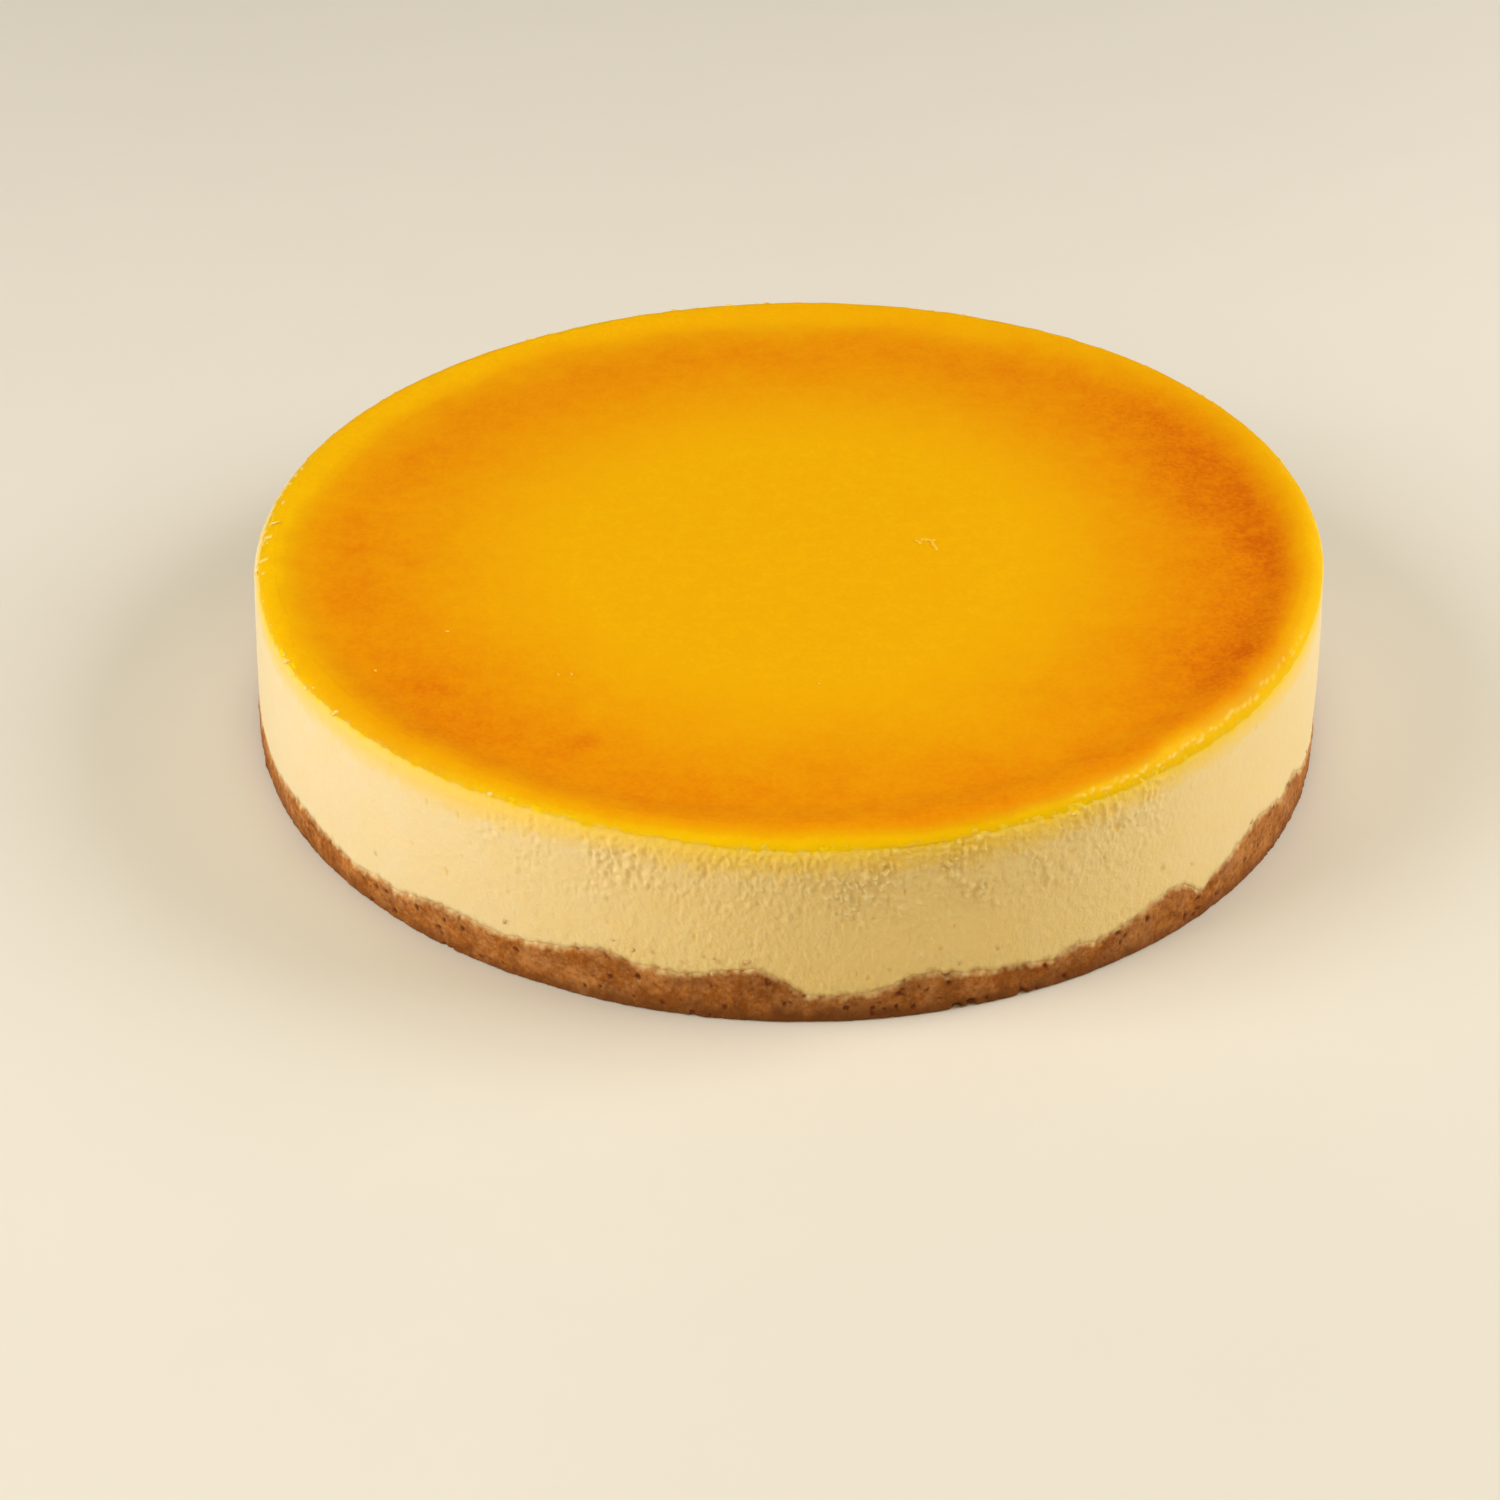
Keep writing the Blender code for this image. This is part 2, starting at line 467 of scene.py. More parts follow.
def makeMottle():
    # broad and fine cloudiness, from low to high
    group, given, made = newGroup(
        "bakedMottle",
        {"Broad Size": 60.0, "Fine Size": 300.0, "Fine Share": 0.4, "Low": 0.0, "High": 1.0}, ["Value"])
    both = twoNoises(group, given, "Fine Share", ("Broad Size", 3.0, 0.55), ("Fine Size", 4.0, 0.65))
    spread = addNode(group, "ShaderNodeMapRange", {
        "Value": both, "From Min": 0.32, "From Max": 0.68, "To Min": given["Low"],
        "To Max": given["High"]}, interpolation_type="SMOOTHSTEP")
    feed(group, made, {"Value": spread.outputs["Result"]})
    return group


def makeSpecks():
    # small scattered specks, each its own strength
    group, given, made = newGroup(
        "scatteredSpecks", {"Scale": 400.0, "Reach": 0.25, "Share": 0.3}, ["Mask", "Tone"])
    cells = addNode(group, "ShaderNodeTexVoronoi", {"Vector": given["Vector"], "Scale": given["Scale"]})
    away = addNode(group, "ShaderNodeMapRange", {
        "Value": cells.outputs["Distance"], "From Min": 0.0, "From Max": given["Reach"], "To Min": 1.0,
        "To Max": 0.0}, interpolation_type="SMOOTHSTEP")
    split = addNode(group, "ShaderNodeSeparateColor", {"Color": cells.outputs["Color"]})
    chosen = mathNode(group, "LESS_THAN", split.outputs[0], given["Share"])
    mask = mathNode(group, "MULTIPLY", away.outputs["Result"], chosen)
    feed(group, made, {"Mask": mask, "Tone": split.outputs[1]})
    return group


def makeGrain():
    # height for a bump: soft dimples with finer grain on them
    group, given, made = newGroup(
        "surfaceGrain", {"Dimple Scale": 500.0, "Grain Scale": 1500.0, "Grain Share": 0.4}, ["Height"])
    both = twoNoises(group, given, "Grain Share", ("Dimple Scale", 2.0, 0.5), ("Grain Scale", 3.0, 0.6))
    feed(group, made, {"Height": both})
    return group


mottleGroup = makeMottle()
speckGroup = makeSpecks()
grainGroup = makeGrain()


def useGroup(tree, group, place, values):
    node = addNode(tree, "ShaderNodeGroup", node_tree=group)
    feed(tree, node, {"Vector": place, **values})
    return node


def mottle(tree, place, broad, fine, fineShare, low, high):
    node = useGroup(tree, mottleGroup, place, {
        "Broad Size": broad, "Fine Size": fine, "Fine Share": fineShare, "Low": low, "High": high})
    return node.outputs["Value"]


def grain(tree, place, dimple, fine, share):
    node = useGroup(tree, grainGroup, place, {
        "Dimple Scale": dimple, "Grain Scale": fine, "Grain Share": share})
    return node.outputs["Height"]


def addBump(tree, shader, height, strength, distance):
    bump = addNode(tree, "ShaderNodeBump", {"Strength": strength, "Distance": distance, "Height": height})
    feed(tree, shader, {"Normal": bump.outputs["Normal"]})


cheeseLook = {
    "cream": (0.84, 0.68, 0.385),
    # the deeper cream tone, also the tone that painted warm bounce light moves the near side towards
    "creamDeepAndBounce": (0.84, 0.615, 0.24),
    "creamCloud": (90.0, 700.0, 0.5, -0.12, 0.22),      # broad, fine, share, low, high
    "yellow": (0.93, 0.575, 0.0003),
    "amber": (0.79, 0.380, 0.0003),
    "orange": (0.742, 0.26, 0.0003),
    "rust": (0.705, 0.205, 0.0003),
    "brown": (0.57, 0.11, 0.0003),
    "brownCloud": (260.0, 900.0, 0.6, -0.14, 0.14),
    "crumb": (0.42, 0.155, 0.028),      # where crumb shows through the cream
    "roughness": 0.5,
    "wetRoughness": -0.2,               # added to it where the skin is wet
    "wetCoat": 0.32,
    "grain": (520.0, 1700.0, 0.45),     # dimples, fine grain, its share
    "roughGrain": 1.6,                  # how much more of it the torn stretches have
}


def makeCheeseMaterial():
    look = cheeseLook
    material, tree, shader = newMaterial("bakedCheese")
    place = ownPlace(tree)
    browning = paintedValue(tree, "browning")
    clouded = mathNode(tree, "MULTIPLY", mottle(tree, place, *look["brownCloud"]), browning)
    toasted = mathNode(tree, "ADD", browning, clouded, clamp=True)
    skin = colourRamp(tree, toasted, [
        (0.0, look["yellow"]), (0.20, look["amber"]), (0.57, look["orange"]), (0.73, look["rust"]),
        (1.0, look["brown"])])
    creamCloud = mottle(tree, place, *look["creamCloud"])
    # the painted 'deep' value: the deeper cream tone, partly painted warm bounce light
    deep = mathNode(tree, "ADD", paintedValue(tree, "deep"), creamCloud, clamp=True)
    cream = mixColours(tree, deep, look["cream"], look["creamDeepAndBounce"])
    colour = mixColours(tree, paintedValue(tree, "skin"), cream, skin)
    crumbed = mixColours(tree, paintedValue(tree, "stain"), colour, look["crumb"])
    wet = paintedValue(tree, "wet")
    smoother = mathNode(tree, "MULTIPLY", wet, look["wetRoughness"])
    feed(tree, shader, {
        "Base Color": crumbed,
        "Roughness": mathNode(tree, "ADD", smoother, look["roughness"], clamp=True),
        "Coat Weight": mathNode(tree, "MULTIPLY", wet, look["wetCoat"], clamp=True),
        "Coat Roughness": 0.14, "Specular IOR Level": 0.03, "Subsurface Weight": 0.25,
        "Subsurface Scale": 4 * mm, "Subsurface Radius": (1.0, 0.6, 0.25)})
    more = mathNode(tree, "MULTIPLY", paintedValue(tree, "rough"), look["roughGrain"])
    rougher = mathNode(tree, "ADD", more, 1.0)
    height = mathNode(tree, "MULTIPLY", grain(tree, place, *look["grain"]), rougher)
    addBump(tree, shader, height, 0.4, 0.4 * mm)
    return material


crumbLook = {
    "dim": (0.25, 0.068, 0.004),
    "toast": (0.355, 0.105, 0.008),
    "light": (0.53, 0.20, 0.036),
    "cloud": (190.0, 680.0, 0.5, 0.0, 0.82),        # broad, fine, share, low, high
    "crumbScale": 700.0,                # single crumbs that differ a little in tone
    "crumbTone": 0.18,
    "pale": (0.58, 0.29, 0.105),        # patches of paler crumb
    "paleCloud": (130.0, 1100.0, 0.55, -0.25, 0.55),
    "speckAndHollowShade": (0.15, 0.036, 0.008),      # darker crumbs scattered in the rest, and the painted shade in the hollows
    "specks": {"Scale": 620.0, "Reach": 0.7, "Share": 0.16},
    "speckStrength": 0.75,
    "speckBend": 1.6 * mm,              # how far they are pulled out of round
    "shade": (0.17, 0.050, 0.006),      # painted shade of the lower part and of the near side
    "cream": (0.88, 0.66, 0.29),        # where the filling has soaked in
    "grain": (900.0, 2600.0, 0.5),
}


def makeCrumbMaterial():
    look = crumbLook
    material, tree, shader = newMaterial("biscuitCrumb")
    place = ownPlace(tree)
    cells = addNode(tree, "ShaderNodeTexVoronoi", {"Vector": place, "Scale": look["crumbScale"]})
    tone = addNode(tree, "ShaderNodeSeparateColor", {"Color": cells.outputs["Color"]})
    own = mathNode(tree, "MULTIPLY", tone.outputs[0], look["crumbTone"])
    shade = mathNode(tree, "ADD", own, mottle(tree, place, *look["cloud"]), clamp=True)
    toasted = colourRamp(tree, shade, [(0.12, look["dim"]), (0.5, look["toast"]), (0.88, look["light"])])
    patched = mixColours(tree, mottle(tree, place, *look["paleCloud"]), toasted, look["pale"])
    # painted shade: darker towards the bottom and on the near side
    lower = mixColours(tree, paintedValue(tree, "low"), patched, look["shade"])
    warp = addNode(tree, "ShaderNodeTexNoise", {"Vector": place, "Scale": 900.0, "Detail": 2.0})
    bent = addNode(tree, "ShaderNodeVectorMath", operation="MULTIPLY_ADD")
    feed(tree, bent, {0: warp.outputs["Color"], 1: [look["speckBend"]] * 3, 2: place})
    specks = useGroup(tree, speckGroup, bent.outputs["Vector"], look["specks"])
    darker = mathNode(tree, "MULTIPLY", specks.outputs["Tone"], look["speckStrength"])
    strength = mathNode(tree, "MULTIPLY", specks.outputs["Mask"], darker)
    dotted = mixColours(tree, strength, lower, look["speckAndHollowShade"])
    # painted shade: the hollows are darkened with the speck colour
    hollow = mixColours(tree, paintedValue(tree, "hollow"), dotted, look["speckAndHollowShade"])
    soaked = mixColours(tree, paintedValue(tree, "soak"), hollow, look["cream"])
    feed(tree, shader, {"Base Color": soaked, "Roughness": 0.85, "Specular IOR Level": 0.2})
    addBump(tree, shader, grain(tree, place, *look["grain"]), 0.5, 0.4 * mm)
    return material


cheeseMaterial = makeCheeseMaterial()
crumbMaterial = makeCrumbMaterial()
print("materials made")


# the baked top

topInfo = {
    "steps": 1600,
    "shoulderRows": 25,
    "lipRows": 15,
    "lipIn": 15 * mm,           # how far in from the crest the finest rings reach
    "midRows": 26,
    "midIn": 48 * mm,           # how far out the coarse rings of the middle reach
    "innerRows": 16,
    "skin": 0.05 * mm,          # how proud the skin stands where it stops on the side
    "past": 0.2 * mm,           # how far it runs on past the cream's start
    "tucks": [(0.5, 0.1), (4, 0.2)],    # its hidden edge: in and down, in mm
    "thickness": 4 * mm,
    "underRings": [(2, 100), (4, 70), (4, 30)],     # below: steps are divided by, radius in mm
    "underSkin": 0.6,
    "slow": [(0.30, 34, 2.2), (0.10, 9, 5.1)],      # unevenness of the whole top
    "slowFrom": 20 * mm,        # full from this radius on
    "lipWaves": [(0.16, 5, 7.3)],       # more of it near the lip
    "lipWaveStart": (100 * mm, 10 * mm),
    "shoulderWaves": [(0.12, 3.5, 1.9)],
    "middleTone": 0.20,         # browning of the middle
    "start": 50 * mm,           # where the ring of browning starts
    "startSwing": 6 * mm,       # farther out on the near side
    "ring": 99 * mm,            # where it is strongest
    "ringSwing": 11 * mm,
    "ringBearing": -55,
    "ringArcs": [(180, 35, 4.0)],   # in mm
    "edge": 110.3 * mm,         # where it has faded to edgeTone
    "edgeSwing": 5.2 * mm,
    "edgeBearing": -70,
    "edgeArcs": [(-140, 14, 2.2), (-92, 12, -0.6), (-50, 13, -0.7), (-28, 11, 1.2), (32, 20, 2.0),
                 (90, 16, -2.6), (122, 12, 1.8)],       # in mm
    "edgeWaves": [(0.9, 13, 6.1)],
    "edgeTone": 0.39,
    "strength": 0.59,
    "strengthArcs": [(8, 38, 0.33), (-31, 14, 0.14), (-133, 28, 0.12), (-75, 22, 0.05)],
    "bend": 1.9,                # over 1, the ring holds its strength nearly out to the edge
    "bendArcs": [(-75, 50, 2.2), (5, 40, -0.5), (-150, 25, 0.8)],
    # browning of the lip
    "lipArcs": [(60, 60, 0.23), (155, 50, 0.15), (-142, 22, 0.08), (-60, 60, 0.08)],
    "fade": 3.2 * mm,           # from the edge out to the lip's tone
    "fadeArcs": [(60, 70, 6.0), (-152, 32, 7.2), (-55, 20, -1.4), (-30, 9, 0.9)],       # in mm
    "fadeBend": 2.3,
    "clouds": [(0.07, 17, 3.3), (0.06, 6, 9.4)],    # of the browning
    "cloudStart": (45 * mm, 50 * mm),
    # spots: bearing, radius and size in mm, and how much browner
    "spots": [(-172, 85, 2.2, 0.16), (-117, 92, 2.4, 0.16), (158, 96, 2.0, 0.14), (-4, 101, 5.0, 0.06),
              (-28, 108, 5.0, 0.08), (-140, 98, 6.0, 0.05), (38, 90, 6.0, 0.05), (-176, 97, 1.2, 0.12)],
}
ridgeInfo = {
    "height": 0.17 * mm,        # of the short wet wrinkles along the lip
    "arc": 3.9 * mm,            # where they run
    "arcRounder": 0.9,          # how much of the lip's extra radius is added to that
    "groups": [(-61, -34, 30, 1.0), (-33, -20, 10, 0.7)],   # from, to, how many and how wet
    "halfWidth": 0.33,          # in mm
    "pale": 0.30,               # share of the skin's colour that they lose, as a painted highlight
    "glintUnbrowned": 0.9,           # and of the browning, for the same painted highlight
    "between": 0.12 * mm,       # height of the smaller slanting ones between them
    "betweenWide": 1.1 * mm,
    "betweenSize": (0.55 * mm, 1.5 * mm),
    "slant": (0.9, 0.5),        # how far they lean, along the lip and down it
    "betweenSeed": 44.0,
    "shine": (0.08, 0.04),      # of the moist lip itself, on the top and on the shoulder
    "shineStart": (108 * mm, 8 * mm),
    "seed": 5,
}


def topHeight(bearing, radius):
    # the dished top: its middle, the lip's foot, the lip's crest, and the lean of the whole
    crestRadius = crestReach(bearing)
    footRadius = crestRadius - lipInfo["slope"]
    footHeight = meanCrest - lipInfo["height"]
    sink = (footHeight - middleHeight) * (1 - soft(radius / footRadius))
    lip = lipInfo["height"] * soft((radius - footRadius) / lipInfo["slope"])
    lean = (crestHeight(bearing) - meanCrest) * radius / crestRadius
    return footHeight - sink + lip + lean


def brownAt(bearing, reach):
    # how browned the skin is; reach runs out to the crest and on down the shoulder
    info = topInfo
    swing = np.cos(bearing - math.radians(info["ringBearing"]))
    edgeSwing = np.cos(bearing - math.radians(info["edgeBearing"]))
    start = info["start"] + info["startSwing"] * edgeSwing
    ring = info["ring"] + info["ringSwing"] * swing + mm * arcs(bearing, info["ringArcs"])
    edge = info["edge"] + info["edgeSwing"] * edgeSwing + mm * arcs(bearing, info["edgeArcs"])
    edge = edge + wavesRound(bearing, info["edgeWaves"])
    strength = info["strength"] + arcs(bearing, info["strengthArcs"])
    inward = np.clip((reach - start) / (ring - start), 0, 1)
    rise = inward ** 1.5 * (1.3 - 0.3 * inward ** 3)
    inside = info["middleTone"] + (strength - info["middleTone"]) * rise
    bend = info["bend"] + arcs(bearing, info["bendArcs"])
    outward = np.clip((reach - ring) / (edge - ring), 0, 1) ** bend
    fading = strength + (info["edgeTone"] - strength) * outward
    beyond = np.clip((reach - edge) / (info["fade"] + mm * arcs(bearing, info["fadeArcs"])), 0, 1)
    lipTone = arcs(bearing, info["lipArcs"])
    lip = lipTone + (info["edgeTone"] - lipTone) * (1 - beyond) ** info["fadeBend"]
    brown = np.where(reach > edge, lip, np.where(reach > ring, fading, inside))
    place = polar(bearing, reach, 0.0)
    clouded = startingAt(reach, info["cloudStart"]) * (1 - beyond)
    brown = brown + clouded * waves(place, info["clouds"], 1)
    for spotBearing, spotReach, size, more in info["spots"]:
        spot = polar(oneBearing(spotBearing), spotReach * mm, 0.0)[0]
        away = np.linalg.norm(place[..., :2] - spot[:2], axis=-1)
        brown = brown + more * bell(away / (size * mm))
    return np.clip(brown, 0, 1)


def topPoint(bearing, radius):
    # the top with its slow unevenness, and small waves near the lip
    place = polar(bearing, radius, 0.0)
    uneven = waves(place, topInfo["slow"]) * soft(radius / topInfo["slowFrom"])
    lipWave = waves(place, topInfo["lipWaves"]) * startingAt(radius, topInfo["lipWaveStart"])
    return polar(bearing, radius, topHeight(bearing, radius) + uneven + lipWave)


def pickRidges():
    # short slanting wrinkles in a broken chain: bearing, offset, half length, tilt and wetness
    rng = np.random.default_rng(ridgeInfo["seed"])
    chosen = []
    for first, last, count, wetness in ridgeInfo["groups"]:
        for number in range(count):
            centre = first + (last - first) * (number + rng.uniform(0.1, 0.9)) / count
            chosen.append((centre, rng.normal(0, 0.38), rng.uniform(0.5, 1.2), rng.uniform(-0.1, 0.65),
                           wetness * rng.uniform(0.35, 1.0)))
    return chosen


def ridgeShare(bearing, past, chosen):
    # how much of a wet wrinkle there is at each bearing and length past the middle of the chain
    total = np.zeros_like(bearing)
    for centre, offset, half, tilt, wetness in chosen:
        across = mmAround(bearing, centre)
        down = past / mm - offset
        along = across * math.cos(tilt) - down * math.sin(tilt)
        aside = across * math.sin(tilt) + down * math.cos(tilt)
        stroke = bell(aside / ridgeInfo["halfWidth"]) * np.exp(-(along / half) ** 4)
        total = np.maximum(total, wetness * stroke)
    return total


def wrinkles(bearing, arc, past):
    # the smaller slanting wrinkles of the moist lip
    along = bearing * cakeRadius
    lean, leanBack = ridgeInfo["slant"]
    wide, long = ridgeInfo["betweenSize"]
    slanted = np.stack([(along + lean * arc) / wide, (arc - leanBack * along) / long, 0 * arc], -1)
    near = bell(past / ridgeInfo["betweenWide"])
    return near * wetLip(bearing) * noiseAt(slanted, 1.0, ridgeInfo["betweenSeed"])


def makeBakedTop():
    info = topInfo
    steps = info["steps"]
    rings, painted, addRing = startRings(browning=0.22, skin=1.0, wet=0.0)
    topShine, shoulderShine = ridgeInfo["shine"]

    def addTopRings(count, rows, inner, outer):
        # both radii are given for the crest's own, which waves with the wall
        bearing = bearings(count)
        low, high = inner(crestReach(bearing)), outer(crestReach(bearing))
        for row in range(1, rows + 1):
            radius = low + (high - low) * (row / rows)
            shine = topShine * wetLip(bearing) * startingAt(radius, ridgeInfo["shineStart"])
            addRing(topPoint(bearing, radius), browning=brownAt(bearing, radius), skin=1.0, wet=shine)

    coarse, middle = steps // 4, steps // 2
    addTopRings(coarse, info["innerRows"], lambda crest: 0 * crest, lambda crest: 0 * crest + info["midIn"])
    addTopRings(middle, info["midRows"], lambda crest: 0 * crest + info["midIn"],
                lambda crest: crest - info["lipIn"])
    addTopRings(steps, info["lipRows"], lambda crest: crest - info["lipIn"], lambda crest: crest)
    bearing = bearings(steps)
    endArc = stopArc(bearing) + info["past"]
    crestExtra = rings[-1][:, 2] - crestHeight(bearing)
    chosen = pickRidges()
    for row in range(1, info["shoulderRows"] + 1):
        share = row / info["shoulderRows"]
        arc = endArc * share
        radius, height, out, up = sidePoint(bearing, arc, info["skin"])
        past = arc - ridgeInfo["arc"] - ridgeInfo["arcRounder"] * extraRadius(bearing)
        ridge = ridgeShare(bearing, past, chosen)
        wave = waves(polar(bearing, radius, height), info["shoulderWaves"])
        wave = wave + ridgeInfo["height"] * ridge + ridgeInfo["between"] * wrinkles(bearing, arc, past)
        fade = soft((1 - share) / 0.5)
        radius = radius + (wave - 0.3 * info["skin"] * fade) * out
        height = height + crestExtra * fade + wave * up
        place = polar(bearing, radius, height)
        # the wet wrinkles are painted paler and less browned, as painted highlights on top of their coat
        addRing(place, wet=np.maximum(ridge, shoulderShine * wetLip(bearing)),
                browning=brownAt(bearing, crestReach(bearing) + arc) * (1 - ridgeInfo["glintUnbrowned"] * ridge),
                skin=skinShare(bearing, arc, place) * (1 - ridgeInfo["pale"] * ridge))
    edgeSkin = painted["skin"][-steps:]
    for inset, drop in info["tucks"]:
        radius, height, out, up = sidePoint(bearing, endArc, -inset * mm)
        addRing(polar(bearing, radius, height - drop * mm), skin=edgeSkin)
    for part, reach in info["underRings"]:
        around = bearings(steps // part)
        under = topHeight(around, reach * mm) - info["thickness"]
        addRing(polar(around, reach * mm, under), skin=info["underSkin"])
    points, faces = joinRings(rings, painted, (0, 0, middleHeight), (0, 0, middleHeight - info["thickness"]))
    # the deeper cream tone, partly painted warm bounce light
    painted["deep"] = deepToneAndWarmBounce(np.arctan2(points[:, 1], points[:, 0]))
    return makePiece("baked_top", points, faces, cheeseMaterial, painted)


bakedTop = makeBakedTop()
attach(bakedTop, "root")
print("baked top:", len(bakedTop.data.polygons), "faces")


# the cream side

sideInfo = {
    "steps": 1280,
    "rows": 72,
    "crowd": 1.25,              # over 1, the rows lie closer together near the lip
    "under": 0.8 * mm,          # how far the side starts above the skin's edge
    "underFade": 1.2 * mm,      # over which its relief grows from there
    "underRelief": 0.3,         # share of the relief right under the skin
    "underDrop": 0.02 * mm,
    "tuck": 1.6 * mm,           # how far it goes down behind the crumb's upper line
    "behind": 0.5 * mm,         # how far behind the crumb's face it goes there
    "ceiling": 6 * mm,          # of its hidden top under the middle of the cake's
    "topRings": [(4, 40), (2, 90)],     # hidden ones: steps are divided by, radius in mm
    "bottomRings": [(2, 100), (4, 84), (4, 42)],
    "warp": (0.7, 2.3, 31.0),   # bends the lumps out of line: mm, size, seed
    "dripArcs": [(-108, 14, 1.0), (-60, 10, 0.3), (-145, 16, 0.12), (62, 20, 0.8), (165, 18, 0.3)],
    "roughArcs": [(-77, 9, 1.0), (-88, 10, 0.45), (-62, 8, 0.5), (-54, 6, 0.35), (95, 16, 0.7),
                  (20, 14, 0.3)],
    "grainArcs": [(-82, 24, 1.0), (-112, 20, 0.5), (-52, 14, 0.35), (80, 34, 0.8), (10, 16, 0.3)],
    "drip": 0.26 * mm,          # depth of the dents left by drips
    "dripWaves": [(1.0, 1.2, 8.8, 1.8), (0.6, 0.8, 18.8, 1.3)],
    "dripShares": (0.7, 1.3),   # raised and sunk
    "dripStart": (0.1, 0.4),
    "rough": 0.58 * mm,         # height of the torn lumps
    "lumpWaves": [(1.0, 1.2, 5.5, 1.3), (0.7, 0.65, 25.5)],
    "lumpStart": (0.15, 0.25),
    "dentStart": (0.15, 0.4),
    "dentShare": 0.5,           # of the dents between the lumps
    "grain": 0.16 * mm,
    "grainLeast": 0.12,         # share of it that the smooth stretches have
    "warpedGrain": [(1.0, 0.7, 6.6)],
    "evenGrain": [(0.8, 1.3, 7.6)],
    "patches": [(1.6, 7, 19.9)],        # where drips and lumps are thick on the ground
    "patchLevel": 0.55,
    "upperPart": (0.35, 0.3),   # shares of the height where they start
    "underLip": (0.88, 0.1),    # and where the drips fade again
    "slow": [(0.22, 26, 4.4), (0.05, 6, 3.4)],
    "lumpPaleHighlight": (0.4, 0.5),     # shares of the skin's colour and of the deep tone that lumps lose: partly paler torn cream, partly a painted highlight on the lumps
    # larger pits, given ochre painted shade: bearing, share of the height, half width and half height in mm
    "largePits": [(-106.5, 0.82, 0.5, 1.6), (-98, 0.80, 0.6, 2.0), (-102.6, 0.80, 0.5, 0.8),
                  (-60, 0.90, 0.6, 0.8), (-61.2, 0.70, 0.6, 0.5), (-56, 0.75, 0.7, 1.4),
                  (-49.5, 0.22, 0.7, 0.7), (-82, 0.10, 0.5, 0.5)],
    "pits": 44,                 # small ones
    "pitDepth": 0.25 * mm,
    "pitShadeTint": (0.35, 0.20),    # the skin's colour and the crumb's, painted into a pit as shade
    "seed": 11,
    # brown grains just under the cream: bearing, height and half size in mm
    "grains": [(-100, 13.0, 0.5), (-98, 15.0, 0.4), (-96.5, 14.2, 0.6), (-94, 14.0, 0.7), (-80, 12.0, 0.4),
               (-69, 13.0, 0.4), (-103, 14.5, 0.5), (-136, 13.5, 0.5), (-45, 15.5, 0.4), (60, 14.0, 0.5)],
    "grainTint": 0.5,
    "spotEdge": 1.2,            # sharpness of the pits and the brown grains
}


def sideRelief(around, place, share):
    # dents, torn lumps and grain, and the share of raised lumps that gets a painted highlight; share runs
    # from the crumb, 0, up to the skin, 1
    info = sideInfo
    bend, bendSize, bendSeed = info["warp"]
    warped = place + bend * mm * noiseAt(place, bendSize * mm, bendSeed)[..., None]
    high = startingAt(share, info["upperPart"])
    patchy = soft(info["patchLevel"] + waves(place, info["patches"], 1))
    drips = arcs(around, info["dripArcs"]) * high * patchy * (1 - 0.7 * startingAt(share, info["underLip"]))
    rough = arcs(around, info["roughArcs"]) * (0.25 + 0.75 * high) * (0.35 + 0.65 * patchy)
    grainy = info["grainLeast"] + arcs(around, info["grainArcs"]) * (0.7 + 0.3 * patchy)
    run = waves(warped, info["dripWaves"], 1)
    over, under = info["dripShares"]
    dripped = over * startingAt(run, info["dripStart"]) - under * startingAt(-run, info["dripStart"])
    lump = waves(warped, info["lumpWaves"], 1)
    raised = startingAt(lump, info["lumpStart"])
    lumpy = raised - info["dentShare"] * startingAt(-lump, info["dentStart"])
    fine = waves(warped, info["warpedGrain"], 1) + waves(place, info["evenGrain"], 1)
    relief = info["drip"] * drips * dripped + info["rough"] * rough * lumpy
    relief = relief + info["grain"] * grainy * fine + waves(place, info["slow"])
    # the second share marks the raised lumps, whose colour is lightened as a painted highlight
    return relief, np.clip(rough, 0, 1) * raised


def pickPits():
    rng = np.random.default_rng(sideInfo["seed"])
    chosen = list(sideInfo["largePits"])
    for _ in range(sideInfo["pits"]):
        centre = rng.choice([rng.normal(-88, 24), rng.uniform(-180, 180)])
        chosen.append((centre, rng.uniform(0.06, 0.95), rng.uniform(0.22, 0.38), rng.uniform(0.25, 0.9)))
    return chosen


def pitShape(around, height, share):
    # how deep in a pit each point is
    deepest = np.zeros_like(height)
    total = np.zeros_like(height)
    for centre, level, wide, tall in pickPits():
        column = np.argmin(np.abs(degreesAway(around[0], centre)))
        middle = np.interp(level, share[::-1, column], height[::-1, column])
        shape = oval(around, height, centre, middle / mm, wide, tall, sideInfo["spotEdge"])
        deepest = np.maximum(deepest, shape)
        total = total + shape
    return deepest, total


